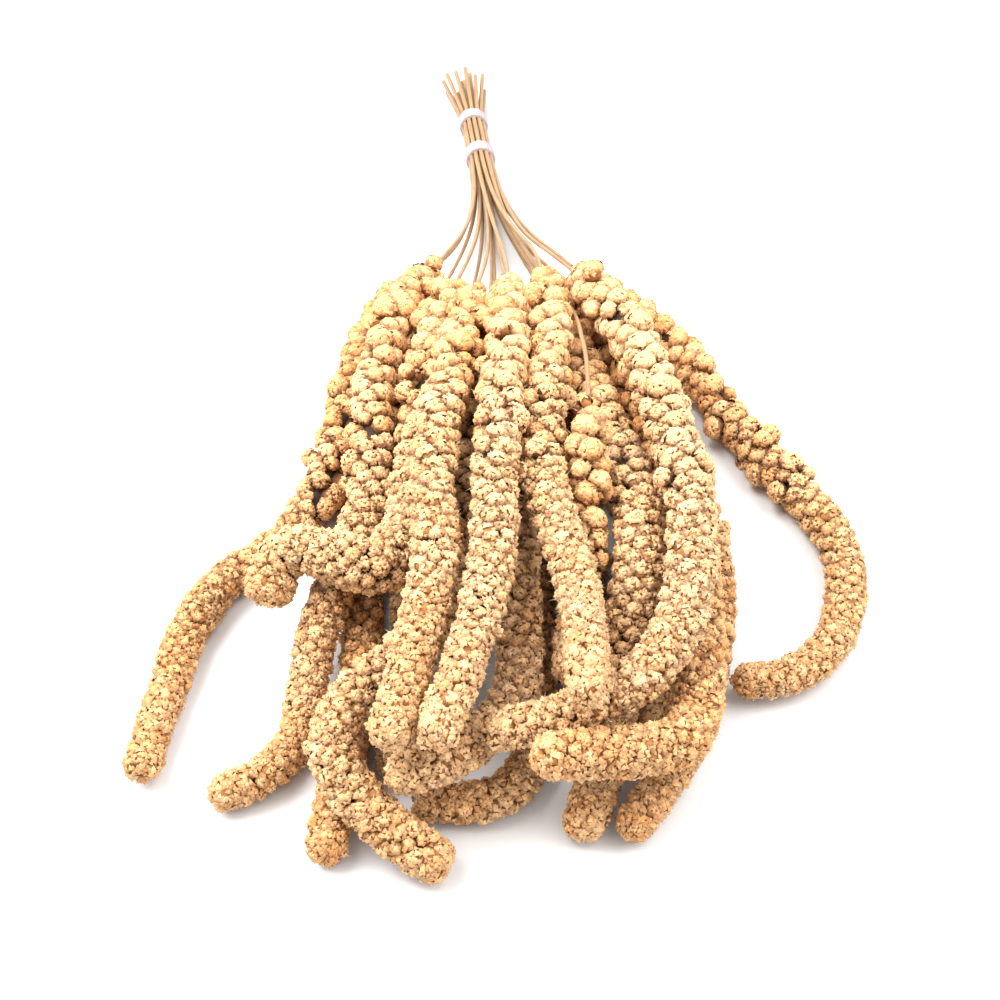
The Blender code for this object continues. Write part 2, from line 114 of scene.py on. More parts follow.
# Painted shade and tone of the grains
CREASE_REACH = 1.7 * MM  # from the next cluster, within which grains are darker with painted shade
CREASES, CREASES_AT = (0.55, 1.0, 0.40), (0.0, 0.4, 1.0)  # how dark that painted shade gets, at shares of a head's length
SIDE_FROM, SIDE_FADE, SIDE_SHADE = 0.30, 0.35, 0.7  # of the painted shade on a cluster's inner side, by how far it faces outwards
CRACK_WIDTH, CRACK_SHADE = 0.16, 0.8  # of the painted shade between tufts, as a share of one
HOLLOW_FROM, HOLLOW_RATE = 0.6, 1.8  # of the painted shade on the side of its bare middle, by how far that faces outwards
HOLLOW_AT_BASE, PIT_SHADE = 0.4, 0.5  # how dark that painted shade is near the stalk, and the painted shade on its top near the tip
HEAD_TONE, CLUSTER_TONE, GRAIN_TONE = 0.06, 0.07, 0.09  # how uneven heads, clusters and grains are
TOP_HEIGHT = 60 * MM  # of the topmost grains
TOP_PAINTED_LIGHT, LOW_PAINTED_SHADE = 0.08, 0.20  # painted light and shade: how much paler those are, and how much that is above the lowest, which are darker
BASE_TONE = 0.26  # how much more amber grains are near the stalk

# Stalks and tape
TAPER_FROM = 110 * MM  # from the cut end, past the tie
JOINT_WIDTH, JOINT_SWELL, JOINT_SHADE = 2.2 * MM, 0.16, 0.8  # of a ring on the straw
JOINTS, FIRST_JOINT = 20, (0.3, 0.9)  # more than a stalk can have, and how far on the first one is
RIB_WIDTH, RIB_LENGTH, RIB_GRAIN = 1.3 * MM, 30 * MM, 2.6  # of the straw's streaks, and how many fit in that
TAPE_TURNS, TAPE_ROWS = 96, 6  # corners round a band, and rows across it
TAPE_WALL = 1.8 * MM  # reaches in between the stalks
TAPE_ROUNDING = 0.12 * TAPE_WALL
TAPE_DIP, DIP_INSIDE = 0.28 * MM, 0.6  # how far it is drawn in between stalks, and the share in its middle
TAPE_TIGHTER = 0.45 * MM  # than the plain band
TAPE_CREASE, TAPE_CREASES, TAPE_CREASE_WIDTH = 0.10 * MM, 6, 3 * MM  # depth, and how close they lie
TAPE_FRAY = 0.03  # of its width, by which its edge is uneven
OUTER_STALKS = 12  # which the tape lies on

# Patterns of the materials
PATCH, PATCH_TONE, PATCH_EVEN = 24 * MM, 0.55, 0.27  # of paler and darker places on the heads
HULL_WIDTH = 1.15 * MM  # of the finest grains, which are painted, with painted shade in their seams, and not modelled
SEAM_WIDTH, SEAM_SHADE, FOOT_SHADE = 0.14, 0.42, 0.22  # how wide and dark the painted shade in their seams is, and how dark the painted shade at the feet of the grains is
FUZZ = 1.6 * MM  # from one tuft of hairs to the next in the hollows
BRISTLE_PATCH = 6 * MM  # of paler and darker bristles
CREPE = 0.8 * MM  # from one fine crease of the tape to the next
COLOURS = {"data_type": "RGBA"}  # what a mix node mixes

# Stage
FLOOR_WIDTH, FLOOR_DROP = 6.0, 0.2 * MM
CAMERA_ASIDE, CAMERA_BEFORE = 11 * MM, 712 * MM  # from the middle of the near band
SENSOR, NEAREST = 36, 0.01  # millimetres, and metres
LIGHTS = (  # place, target, width and share of the key light's power
    ((-0.55, -0.04, 0.90), (0.0, -0.10, 0.0), 0.9, 1.0),
    ((0.65, -0.25, 0.95), (0.0, -0.15, 0.0), 1.0, 0.6),
)


def linear(colour):
    """The sRGB colour 0xRRGGBB as linear red, green and blue."""
    parts = [(colour >> shift & 255) / 255 for shift in (16, 8, 0)]
    return tuple(c / 12.92 if c <= 0.04045 else ((c + 0.055) / 1.055) ** 2.4 for c in parts)


def number(name, description, value, least=0.0, **kind):
    """A number that a user may change."""
    return bpy.props.FloatProperty(name=name, description=description, default=value, min=least, **kind)


def size(name, description, value, least=0.0):
    """A length that a user may change."""
    return number(name, description, value, least, unit="LENGTH", precision=4)


def colour(name, description, value):
    """A colour that a user may change."""
    return bpy.props.FloatVectorProperty(
        name=name, description=description, default=linear(value), size=3, min=0, max=1, subtype="COLOR")


bl_info = {
    "name": "Foxtail millet bunch",
    "version": (1, 0, 0),
    "blender": (4, 5, 0),
    "location": "3D View > Sidebar > Millet",
    "description": "Dresses a tied bunch of dried foxtail millet heads",
    "category": "Object",
}


class MILLET_PG_heads(bpy.types.PropertyGroup):
    """Sizes and colours of the seed heads."""
    grain_pitch: size("Grain pitch", "From one grain to the next", 1.33 * MM, 0.5 * MM)
    grain_width: size("Grain width", "Across one hulled grain", 2.35 * MM, 0.5 * MM)
    grain_height: size("Grain height", "From the foot of a grain to its tip", 0.95 * MM, 0.5 * MM)
    cluster_base: size("Cluster at the base", "Room of a cluster near the stalk", 10.2 * MM, 2 * MM)
    cluster_tip: size("Cluster at the tip", "Room of a cluster near the tip", 5.4 * MM, 2 * MM)
    bristle_length: size("Bristle length", "Of the longest bristles", 3.4 * MM)
    bristle_width: size("Bristle width", "Across a bristle at its foot", 0.16 * MM)
    bristle_share: number(
        "Bristled grains", "Share of the grains that carry a bristle", 0.04, max=1, subtype="FACTOR")
    hull_pale: colour("Pale hull", "Of the lightest grains", 0xF0D1A9)
    hull_gold: colour("Golden hull", "Of most grains", 0xEEC18C)
    hull_amber: colour("Amber hull", "Of the darkest grains", 0xDD9653)
    # the colour of the painted shade at the feet of the grains and in their seams, and on the bare middles
    # between them
    foot: colour("Foot of the hulls", "Between grains", 0xC68A4E)
    # the colour of the painted shade deep between clusters, on their bare middles
    hollow_shade: colour("Hollows", "Deep between clusters", 0x3A2414)
    # the colour of the painted shade between clusters
    crease: colour("Creases", "Between clusters", 0x5C3419)
    bristle: colour("Bristle", "Of the bristles", 0xD2C4A4)


class MILLET_PG_stalks(bpy.types.PropertyGroup):
    """Sizes and colours of the stalks."""
    radius: size("Stalk radius", "In the tie, between two joints", 1.25 * MM, 0.2 * MM)
    taper: number("Taper", "How much thinner a stalk is at its head", 0.36, max=0.9, subtype="FACTOR")
    joint_gap: size("Joint spacing", "From one joint to the next", 88 * MM, 10 * MM)
    straw: colour("Straw", "Of the stalks", 0xA3845F)
    straw_dark: colour("Dark straw", "Of the joints and the streaks", 0x8A6640)


class MILLET_PG_tie(bpy.types.PropertyGroup):
    """Sizes and colours of the two bands."""
    tape: colour("Tape", "Of the bands", 0xA89DA0)
    # painted shade in the low folds of the crepe
    tape_fold_shade: colour("Worn tape", "Where the tape is creased", 0x9A8E90)


class MILLET_PG_stage(bpy.types.PropertyGroup):
    """The floor, the lights and the camera."""
    camera_height: size("Camera height", "Above the floor", 358 * MM)
    camera_pitch: number("Camera pitch", "Below the horizon", math.radians(40), subtype="ANGLE")
    lens: number("Lens", "Focal length in millimetres", 50.0, 1)
    floor: colour("Floor", "Of the white board", 0xD6D6D6)
    key_watts: number("Key light", "Power of the soft light", 23.5)
    fill: number("Fill light", "Strength of the white room", 1.20)


# Materials

def new_material(name):
    """An empty node material with its Principled shader and output joined."""
    material = bpy.data.materials.new(name)
    material.use_nodes = True
    tree = material.node_tree
    tree.nodes.clear()
    shader = add(tree, "ShaderNodeBsdfPrincipled")
    add(tree, "ShaderNodeOutputMaterial", Surface=shader.outputs["BSDF"])
    return material, tree, shader


def add(tree, kind, settings=None, **inputs):
    """A node with its settings. Each input, by name or by i and its number, gets a value or a link."""
    node = tree.nodes.new(kind)
    for name, value in (settings or {}).items():
        setattr(node, name, value)
    for name, value in inputs.items():
        socket = node.inputs[int(name[1:]) if name[0] == "i" and name[1:].isdigit() else name]
        if isinstance(value, bpy.types.NodeSocket):
            tree.links.new(value, socket)
        else:
            socket.default_value = (*value, 1.0) if socket.type == "RGBA" else value
    return node


def join_shader(tree, shader, hue, roughness, bump=None):
    """Joins the colour and the bump to the shader, and sets how rough it is."""
    tree.links.new(hue.outputs[2], shader.inputs["Base Color"])
    if bump:
        tree.links.new(bump.outputs["Normal"], shader.inputs["Normal"])
    shader.inputs["Roughness"].default_value = roughness


def hull_hue(tree, settings, place):
    """The colour of the hulls, amber, golden or pale by their tone, which is uneven in patches."""
    # the tone holds painted light and shade, paler high in the pile and darker low in it, besides each
    # grain's own tone
    tone = add(tree, "ShaderNodeAttribute", {"attribute_name": "tone"}).outputs["Fac"]
    patches = add(tree, "ShaderNodeTexNoise", Vector=place, Scale=1 / PATCH, Detail=2.0)
    shift = add(tree, "ShaderNodeMath", {"operation": "MULTIPLY_ADD"},
                i0=patches.outputs["Fac"], i1=PATCH_TONE, i2=-PATCH_EVEN)
    toned = add(tree, "ShaderNodeMath", {"operation": "ADD"}, i0=tone, i1=shift.outputs[0])
    warm = add(tree, "ShaderNodeMapRange", Value=toned.outputs[0], i1=0.0, i2=0.5)
    light = add(tree, "ShaderNodeMapRange", Value=toned.outputs[0], i1=0.5, i2=1.0)
    gold = add(tree, "ShaderNodeMix", COLOURS, i0=warm.outputs["Result"],
               i6=settings.hull_amber, i7=settings.hull_gold)
    hull = add(tree, "ShaderNodeMix", COLOURS, i0=light.outputs["Result"],
               i6=gold.outputs[2], i7=settings.hull_pale)
    return hull.outputs[2]


def hull_material(settings):
    """Dried millet hulls: papery and nearly matt, paler on their crowns, with painted shade at their feet,
    dark with painted shade in the seams round each and between clusters.
    """
    material, tree, shader = new_material("dried_millet_hull")
    crown, recess, relief = (
        add(tree, "ShaderNodeAttribute", {"attribute_name": name}).outputs["Fac"]
        for name in ("crown", "recess", "relief"))
    place = add(tree, "ShaderNodeTexCoord").outputs["Object"]
    hull = hull_hue(tree, settings, place)
    grains = add(tree, "ShaderNodeTexVoronoi", {"feature": "DISTANCE_TO_EDGE"},
                 Vector=place, Scale=1 / HULL_WIDTH)
    away = grains.outputs["Distance"]
    # painted shade in the seams between the finest grains, and at the foot of each modelled grain, below its
    # crown
    gap = add(tree, "ShaderNodeMapRange", Value=away, i1=0.0, i2=SEAM_WIDTH, i3=SEAM_SHADE, i4=0.0)
    seam = add(tree, "ShaderNodeMath", {"operation": "MULTIPLY"}, i0=gap.outputs["Result"], i1=relief)
    lower = add(tree, "ShaderNodeMapRange", Value=crown, i1=0.5, i2=0.0, i3=0.0, i4=FOOT_SHADE)
    foot = add(tree, "ShaderNodeMath", {"operation": "MAXIMUM"},
               i0=seam.outputs[0], i1=lower.outputs["Result"])
    body = add(tree, "ShaderNodeMix", COLOURS, i0=foot.outputs[0], i6=hull, i7=settings.foot)
    # painted shade between clusters, on their inner sides and between tufts
    shade = add(tree, "ShaderNodeMix", COLOURS, i0=recess, i6=body.outputs[2], i7=settings.crease)
    rounded = add(tree, "ShaderNodeMapRange", Value=away, i1=0.0, i2=0.35)
    bump = add(tree, "ShaderNodeBump", Strength=0.5, Distance=0.35 * MM, Height=rounded.outputs["Result"])
    join_shader(tree, shader, shade, 0.62, bump)
    shader.inputs["Specular IOR Level"].default_value = 0.3
    return material


def core_material(settings):
    """The hairy middle of the clusters, which shows only as dark hollows between grains, coloured with
    painted shade.
    """
    material, tree, shader = new_material("millet_husk_core_painted_shade")
    recess = add(tree, "ShaderNodeAttribute", {"attribute_name": "recess"}).outputs["Fac"]
    place = add(tree, "ShaderNodeTexCoord").outputs["Object"]
    fuzz = add(tree, "ShaderNodeTexNoise", Vector=place, Scale=1 / FUZZ, Detail=3.0)
    blend = add(tree, "ShaderNodeMapRange", Value=fuzz.outputs["Fac"], i1=0.35, i2=0.65)
    # painted shade: the bare middles are dark in the hollows, and darker still by the value noted at each
    # corner
    deep = add(tree, "ShaderNodeMix", COLOURS, i0=blend.outputs["Result"],
               i6=[0.5 * part for part in settings.hollow_shade], i7=settings.hollow_shade)
    high = add(tree, "ShaderNodeMix", COLOURS, i0=blend.outputs["Result"],
               i6=settings.foot, i7=settings.hull_amber)
    hue = add(tree, "ShaderNodeMix", COLOURS, i0=recess,
              i6=high.outputs[2], i7=deep.outputs[2])
    bump = add(tree, "ShaderNodeBump", Strength=0.6, Distance=0.4 * MM, Height=fuzz.outputs["Fac"])
    join_shader(tree, shader, hue, 0.9, bump)
    return material


def bristle_material(settings):
    """Millet bristles: fine, stiff and pale, a little darker in patches."""
    material, tree, shader = new_material("millet_bristle")
    place = add(tree, "ShaderNodeTexCoord").outputs["Object"]
    patches = add(tree, "ShaderNodeTexNoise", Vector=place, Scale=1 / BRISTLE_PATCH, Detail=2.0)
    blend = add(tree, "ShaderNodeMapRange", Value=patches.outputs["Fac"], i1=0.3, i2=0.6)
    hue = add(tree, "ShaderNodeMix", COLOURS, i0=blend.outputs["Result"],
              i6=settings.hull_gold, i7=settings.bristle)
    join_shader(tree, shader, hue, 0.5)
    return material


def straw_material(settings):
    """Dried stalk straw: smooth and silky, with fine ribs along it and a darker ring at each joint."""
    material, tree, shader = new_material("dried_millet_straw")
    joint = add(tree, "ShaderNodeAttribute", {"attribute_name": "joint"}).outputs["Fac"]
    along = add(tree, "ShaderNodeAttribute", {"attribute_name": "along"}).outputs["Vector"]
    streaks = add(tree, "ShaderNodeTexNoise", Vector=along, Scale=RIB_GRAIN, Detail=3.0)
    blend = add(tree, "ShaderNodeMapRange", Value=streaks.outputs["Fac"], i1=0.38, i2=0.72)
    dark = add(tree, "ShaderNodeMath", {"operation": "MAXIMUM"}, i0=blend.outputs["Result"], i1=joint)
    hue = add(tree, "ShaderNodeMix", COLOURS, i0=dark.outputs[0],
              i6=settings.straw, i7=settings.straw_dark)
    bump = add(tree, "ShaderNodeBump", Strength=0.5, Distance=0.12 * MM, Height=streaks.outputs["Fac"])
    join_shader(tree, shader, hue, 0.42, bump)
    return material


def tape_material(settings):
    """Paper tape: matt, near white, with fine creases across it, darker with painted shade in their low
    folds.
    """
    material, tree, shader = new_material("crepe_paper_tape")
    place = add(tree, "ShaderNodeTexCoord").outputs["Object"]
    crepe = add(tree, "ShaderNodeTexNoise", Vector=place, Scale=1 / CREPE, Detail=3.0)
    blend = add(tree, "ShaderNodeMapRange", Value=crepe.outputs["Fac"], i1=0.3, i2=0.6)
    # painted shade where the crepe's bump is lowest
    hue = add(tree, "ShaderNodeMix", COLOURS, i0=blend.outputs["Result"],
              i6=settings.tape_fold_shade, i7=settings.tape)
    bump = add(tree, "ShaderNodeBump", Strength=0.5, Distance=0.15 * MM, Height=crepe.outputs["Fac"])
    join_shader(tree, shader, hue, 0.75, bump)
    return material


def board_material(settings):
    """A white board, quite matt."""
    material, _, shader = new_material("white_board")
    shader.inputs["Base Color"].default_value = (*settings.floor, 1.0)
    shader.inputs["Roughness"].default_value = 0.9
    return material


# Modelling by hand

def deselect_all():
    """Nothing selected and nothing active, so that an operator acts on new things alone."""
    bpy.ops.object.select_all(action="DESELECT")
    bpy.context.view_layer.objects.active = None


def select_ring_edges():
    """Selects the outer edges of the flat shape being edited."""
    mesh = bmesh.from_edit_mesh(bpy.context.object.data)
    bpy.ops.mesh.select_all(action="DESELECT")
    bpy.ops.mesh.select_mode(type="EDGE")
    for edge in mesh.edges:
        edge.select = edge.is_boundary
    bmesh.update_edit_mesh(bpy.context.object.data)


def pull_to_point(height):
    """Extrudes the selected ring along Z and closes it in one point."""
    bpy.ops.mesh.extrude_edges_move(TRANSFORM_OT_translate={"value": (0, 0, height)})
    bpy.ops.mesh.merge(type="CENTER")


def take_shape():
    """The corners and triangles of the object being edited, which is then removed."""
    bpy.ops.mesh.select_all(action="SELECT")
    bpy.ops.mesh.normals_make_consistent(inside=False)
    bpy.ops.object.mode_set(mode="OBJECT")
    obj = bpy.context.object
    corners = np.array([vertex.co[:] for vertex in obj.data.vertices])
    faces = np.array([face.vertices[:] for face in obj.data.polygons])
    mesh = obj.data
    bpy.data.objects.remove(obj)
    bpy.data.meshes.remove(mesh)
    return corners, faces


def model_grain(width, height):
    """One hulled grain, standing on Z: a ring drawn up to a blunt tip over a closed foot."""
    deselect_all()
    bpy.ops.mesh.primitive_circle_add(vertices=GRAIN_SIDES, radius=width / 2, fill_type="NGON")
    bpy.ops.object.mode_set(mode="EDIT")
    bpy.ops.mesh.quads_convert_to_tris()
    select_ring_edges()
    pull_to_point(height)
    return take_shape()


def model_knob():
    """The bare middle of a cluster, one unit wide: a ball worked into an uneven lump."""
    deselect_all()
    bpy.ops.mesh.primitive_ico_sphere_add(subdivisions=1, radius=1)
    bpy.ops.object.mode_set(mode="EDIT")
    bpy.ops.transform.vertex_random(offset=KNOB_UNEVEN, seed=7)
    return take_shape()


def model_bristle(width, length):
    """One bristle, standing on Z: a slim spike that bends over at its tip."""
    deselect_all()
    bpy.ops.mesh.primitive_cone_add(
        vertices=3, radius1=width, radius2=0, depth=length, location=(0, 0, length / 2),
        end_fill_type="NGON")
    bpy.ops.object.transform_apply(location=True, rotation=False, scale=False)
    bpy.ops.object.mode_set(mode="EDIT")
    bpy.ops.mesh.select_all(action="DESELECT")
    mesh = bmesh.from_edit_mesh(bpy.context.object.data)
    max(mesh.verts, key=lambda vertex: vertex.co.z).select = True
    bmesh.update_edit_mesh(bpy.context.object.data)
    bpy.ops.transform.translate(value=(length * BRISTLE_BEND, 0, 0))
    return take_shape()


# Lines

def unit(vectors):
    """The vectors at length one."""
    return vectors / np.maximum(np.linalg.norm(vectors, axis=-1, keepdims=True), 1e-12)


def smooth_line(points, values, step):
    """A smooth curve through the points about a step apart, with the values read along it."""
    ends = 2 * points[[0, -1]] - points[[1, -2]]
    knots = np.vstack([ends[:1], points, ends[1:]])
    share = np.linspace(0, 1, CURVE_PARTS, endpoint=False)[:, None]
    dense, at = [], []
    for row, (a, b, c, d) in enumerate(zip(knots, knots[1:], knots[2:], knots[3:])):
        bend = 2 * a - 5 * b + 4 * c - d
        twist = 3 * b - a - 3 * c + d
        dense.append(b + 0.5 * ((c - a) * share + bend * share**2 + twist * share**3))
        at.append(row + share[:, 0])
    dense = np.vstack(dense + [points[-1:]])
    at = np.concatenate(at + [[len(points) - 1]])
    run = np.concatenate([[0], np.cumsum(np.linalg.norm(np.diff(dense, axis=0), axis=1))])
    stops = np.linspace(0, run[-1], max(3, round(run[-1] / step) + 1))
    line = np.column_stack([np.interp(stops, run, dense[:, axis]) for axis in range(3)])
    return line, np.interp(np.interp(stops, run, at), np.arange(len(values)), values), stops


def frames_along(line):
    """The direction of the line at each point, and two directions across it that never twist round it."""
    along = unit(np.gradient(line, axis=0))
    side = unit(np.cross(along[0], FIRST_SIDE))
    sides = []
    for direction in along:
        side = unit(side - direction * (side @ direction))
        sides.append(side)
    sides = np.array(sides)
    return along, sides, np.cross(along, sides)


def welded(node):
    """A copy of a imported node, with its loose triangles joined."""
    mesh = bmesh.new()
    mesh.from_mesh(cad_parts[node].data)
    bmesh.ops.remove_doubles(mesh, verts=mesh.verts, dist=WELD)
    mesh.verts.index_update()
    return mesh


def rings_from(first):
    """The rings of corners of a packed head or stalk, from the given end on."""
    rings, seen = [list(first)], set(first)
    while rings[-1]:
        beyond = {edge.other_vert(vertex) for vertex in rings[-1] for edge in vertex.link_edges} - seen
        seen |= beyond
        rings.append(sorted(beyond, key=lambda vertex: vertex.index))
    return [np.array([vertex.co[:] for vertex in ring]) for ring in rings[:-1]]


def head_rings(name):
    """The rings of a packed head, from the end at its stalk to its tip."""
    mesh = welded("head_" + name)
    stalk = corners_of("stalk_" + name)
    poles = [vertex for vertex in mesh.verts if len(vertex.link_edges) == POLE_EDGES]
    base = min(poles, key=lambda pole: np.linalg.norm(stalk - np.array(pole.co), axis=1).min())
    rings = rings_from([base])
    mesh.free()
    return rings


def stalk_rings(name):
    """The rings of a packed stalk, from its cut end to its head."""
    mesh = welded("stalk_" + name)
    rings = rings_from(sorted(mesh.verts, key=lambda vertex: -vertex.co.y)[:STALK_CORNERS])
    mesh.free()
    return rings


def corners_of(node):
    """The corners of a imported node."""
    return np.array([vertex.co[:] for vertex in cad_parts[node].data.vertices])


class Head:
    """The middle line of a packed head, with its radius and the directions across it."""

    def __init__(self, name):
        rings = head_rings(name)
        middles = np.array([ring.mean(axis=0) for ring in rings])
        offsets = [ring - middle for ring, middle in zip(rings, middles)]
        radii = np.array([np.linalg.norm(offset, axis=1).max() for offset in offsets])
        radii[0] = radii[1]
        self.line, self.radii, self.run = smooth_line(middles, radii, LINE_STEP)
        self.along, self.u, self.v = frames_along(self.line)
        self.length = self.run[-1]
        end_cap = np.linalg.norm(np.diff(middles, axis=0), axis=1)[-2:].sum()
        body = self.run <= self.length - end_cap
        self.radii[~body] = self.radii[body][-1]
        self.radii *= dome(self.run / START_CAP) * dome((self.length - self.run) / end_cap)
        self.slope = np.gradient(self.radii, self.run)

    def read(self, values, run):
        """The values noted along the line, read at distances from its base."""
        values = values.reshape(len(self.run), -1)
        return np.column_stack([np.interp(run, self.run, column) for column in values.T])

    def surface(self, run, around):
        """Places on the outside of the head, with the outward, onward and sideways directions there."""
        u, v, along = self.read(self.u, run), self.read(self.v, run), self.read(self.along, run)
        turn = around[:, None]
        out = np.cos(turn) * u + np.sin(turn) * v
        sideways = np.cos(turn) * v - np.sin(turn) * u
        places = self.read(self.line, run) + out * self.read(self.radii, run)
        outward = unit(out - along * self.read(self.slope, run))
        return places, outward, along, sideways


# Seed heads

def cluster_room(share, settings):
    """The room that one cluster has, at a share of the head's length."""
    part = np.clip((share - WIDEST_UNTIL) / (NARROWEST_FROM - WIDEST_UNTIL), 0, 1)
    part = part * part * (3 - 2 * part)
    return settings.cluster_base + (settings.cluster_tip - settings.cluster_base) * part


def cluster_spots(head, settings, rng):
    """Where clusters sit: spread evenly over the head, as distances from its base and angles round it."""
    rooms = cluster_room(head.run / head.length, settings)
    skin = 2 * math.pi * head.radii * np.sqrt(1 + head.slope**2) * head.length / len(head.run)
    counted = np.cumsum(skin / (PACKED * rooms**2))
    count = int(counted[-1])
    run = np.interp(np.arange(count) + 0.5, counted, head.run)
    around = np.arange(count) * GOLDEN_ANGLE + rng.normal(size=count) * TURN_SCATTER
    for _ in range(EASE_ROUNDS):
        run, around = eased_apart(head, run, around, settings)
    return run, around


def eased_apart(head, run, around, settings):
    """The same clusters after those that crowd each other have moved a little apart."""
    places, _, along, sideways = head.surface(run, around)
    rooms = cluster_room(run / head.length, settings)
    offset = places[:, None] - places[None]
    apart = np.linalg.norm(offset, axis=2) + np.eye(len(run))
    short = np.maximum(CROWDED * (rooms[:, None] + rooms[None]) / 2 - apart, 0)
    moves = (offset * (short / apart)[:, :, None]).sum(axis=1) * EASE_STEP
    run = np.clip(run + (moves * along).sum(axis=1), END_MARGIN, head.length - END_MARGIN)
    radii = np.maximum(head.read(head.radii, run)[:, 0], LEAST_RADIUS)
    return run, around + (moves * sideways).sum(axis=1) / radii


def clusters_on(head, settings, rng):
    """The clusters on a head: where they sit, which way they point, and how wide, long and pale they are."""
    run, around = cluster_spots(head, settings, rng)
    kept = (rng.random(len(run)) > LOST_SHARE) | (run / head.length > LONG_UNTIL)
    run, around = run[kept], around[kept]
    share = run / head.length
    count = len(run)
    places, outward, along, _ = head.surface(run, around)
    wide = cluster_widths(head, run, settings, rng)
    drawn = np.clip(1 - share / LONG_UNTIL, 0, 1)
    long = wide * (1 + (LONGEST - 1) * drawn * rng.uniform(*LENGTH_RANGE, count))
    aim = unit(outward + along * (LEAN * drawn)[:, None] + rng.normal(size=(count, 3)) * AIM_SCATTER)
    stray = (rng.random(count) < STRAY_SHARE) & (share < LONG_UNTIL)
    lift = HEIGHT_SCATTER * (1 - HEIGHT_CALM * share) * rng.normal(size=count)
    lift += stray * STRAY_REACH * rng.uniform(*STRAY_RANGE, count)
    return {
        "middle": places + outward * (lift - wide)[:, None], "aim": aim, "out": outward,
        "wide": wide, "long": long, "share": share, "tone": rng.normal(size=count),
    }


def cluster_widths(head, run, settings, rng):
    """Half the width of each cluster, which a thin head keeps small."""
    share = run / head.length
    wide = np.interp(share, FULLNESS_AT, FULLNESS) * cluster_room(share, settings)
    wide = np.minimum(wide, WIDEST_SHARE * np.maximum(head.read(head.radii, run)[:, 0], THIN_HEAD))
    return wide * np.clip(1 + SIZE_SCATTER * rng.normal(size=len(run)), *SIZE_RANGE)


def dome(share):
    """The height of a round dome at a share of the way up to it, and one beyond."""
    return np.sqrt(np.maximum(1 - (1 - np.clip(share, 0, 1))**2, 0))


def spiral(count):
    """Points spread evenly over a ball of radius one."""
    row = np.arange(count)
    z = 1 - (2 * row + 1) / count
    turn = row * GOLDEN_ANGLE
    flat = np.sqrt(1 - z * z)
    return np.column_stack([flat * np.cos(turn), flat * np.sin(turn), z])


def across(directions):
    """Two directions square to each of the given ones."""
    helper = np.where(np.abs(directions[:, 2:]) < UPRIGHT, (0.0, 0.0, 1.0), (1.0, 0.0, 0.0))
    first = unit(np.cross(helper, directions))
    return first, np.cross(directions, first)


def ball_on(clusters, row, pitch, rng):
    """Places spread evenly over one cluster, with the outward directions there."""
    wide, long = clusters["wide"][row], clusters["long"][row]
    sides = ((wide * wide) ** AREA_POWER + 2 * (wide * long) ** AREA_POWER) / 3
    area = 4 * math.pi * sides ** (1 / AREA_POWER)
    ball = spiral(max(LEAST_GRAINS, round(area / (PACKED * pitch * pitch))))
    turn = rng.uniform(0, 2 * math.pi)
    x = ball[:, 0] * math.cos(turn) - ball[:, 1] * math.sin(turn)
    y = ball[:, 0] * math.sin(turn) + ball[:, 1] * math.cos(turn)
    first, second = across(clusters["aim"][row:row + 1])
    side = x[:, None] * first + y[:, None] * second
    axial = ball[:, 2:] * clusters["aim"][row]
    return clusters["middle"][row] + wide * side + long * axial, unit(side / wide + axial / long)


def grains_on(clusters, pitch, rng):
    """Places, outward directions and cluster of every grain that shows, and its way to the next cluster."""
    balls = [ball_on(clusters, row, pitch, rng) for row in range(len(clusters["wide"]))]
    places, normals = (np.vstack(part) for part in zip(*balls))
    owners = np.repeat(np.arange(len(balls)), [len(ball[0]) for ball in balls])
    shows = (normals * clusters["out"][owners]).sum(axis=1) > INWARD_LIMIT
    places, normals, owners = places[shows], normals[shows], owners[shows]
    depth = depth_in_others(places, owners, clusters)
    clear = depth > CLEAR_OF_NEXT
    places, normals, owners, depth = places[clear], normals[clear], owners[clear], depth[clear]
    places = places + rng.normal(size=places.shape) * GRAIN_SCATTER * pitch
    normals = unit(normals + rng.normal(size=normals.shape) * GRAIN_TILT)
    return places, normals, owners, (depth - 1) * clusters["wide"][owners]


def depth_in_others(places, owners, clusters):
    """How far out each place lies in the other cluster that holds it deepest: 1 at the outside."""
    least = np.full(len(places), np.inf)
    for row, (middle, aim) in enumerate(zip(clusters["middle"], clusters["aim"])):
        offset = places - middle
        axial = offset @ aim
        flat = np.maximum((offset * offset).sum(axis=1) - axial**2, 0)
        share = np.sqrt(flat / clusters["wide"][row]**2 + axial**2 / clusters["long"][row]**2)
        least = np.where(owners == row, least, np.minimum(least, share))
    return least


def stem_rings(head):
    """Rings of corners of the bare middle of a head, from its base to near its tip."""
    stops = np.arange(0, head.length - STEM_STEP / 2, STEM_STEP)
    angles = 2 * math.pi * np.arange(STEM_SIDES) / STEM_SIDES
    middles, u, v = (head.read(values, stops) for values in (head.line, head.u, head.v))
    radii = np.maximum(STEM_SHARE * head.read(head.radii, stops), STEM_LEAST)
    rays = np.cos(angles)[None, :, None] * u[:, None] + np.sin(angles)[None, :, None] * v[:, None]
    return middles[:, None] + rays * radii[:, None]


def tube_faces(rings, sides):
    """Triangles of a tube of rings with a corner before it and a corner after it."""
    rows, columns = np.meshgrid(np.arange(rings - 1), np.arange(sides), indexing="ij")
    a = 1 + rows * sides + columns
    b = 1 + rows * sides + (columns + 1) % sides
    walls = np.concatenate([
        np.stack([a, b, b + sides], axis=-1).reshape(-1, 3),
        np.stack([a, b + sides, a + sides], axis=-1).reshape(-1, 3)])
    ring = np.arange(sides)
    following = (ring + 1) % sides
    first = np.stack([np.zeros(sides, int), 1 + following, 1 + ring], axis=-1)
    start = 1 + (rings - 1) * sides
    last = np.stack([np.full(sides, 1 + rings * sides), start + ring, start + following], axis=-1)
    return np.concatenate([walls, first, last])


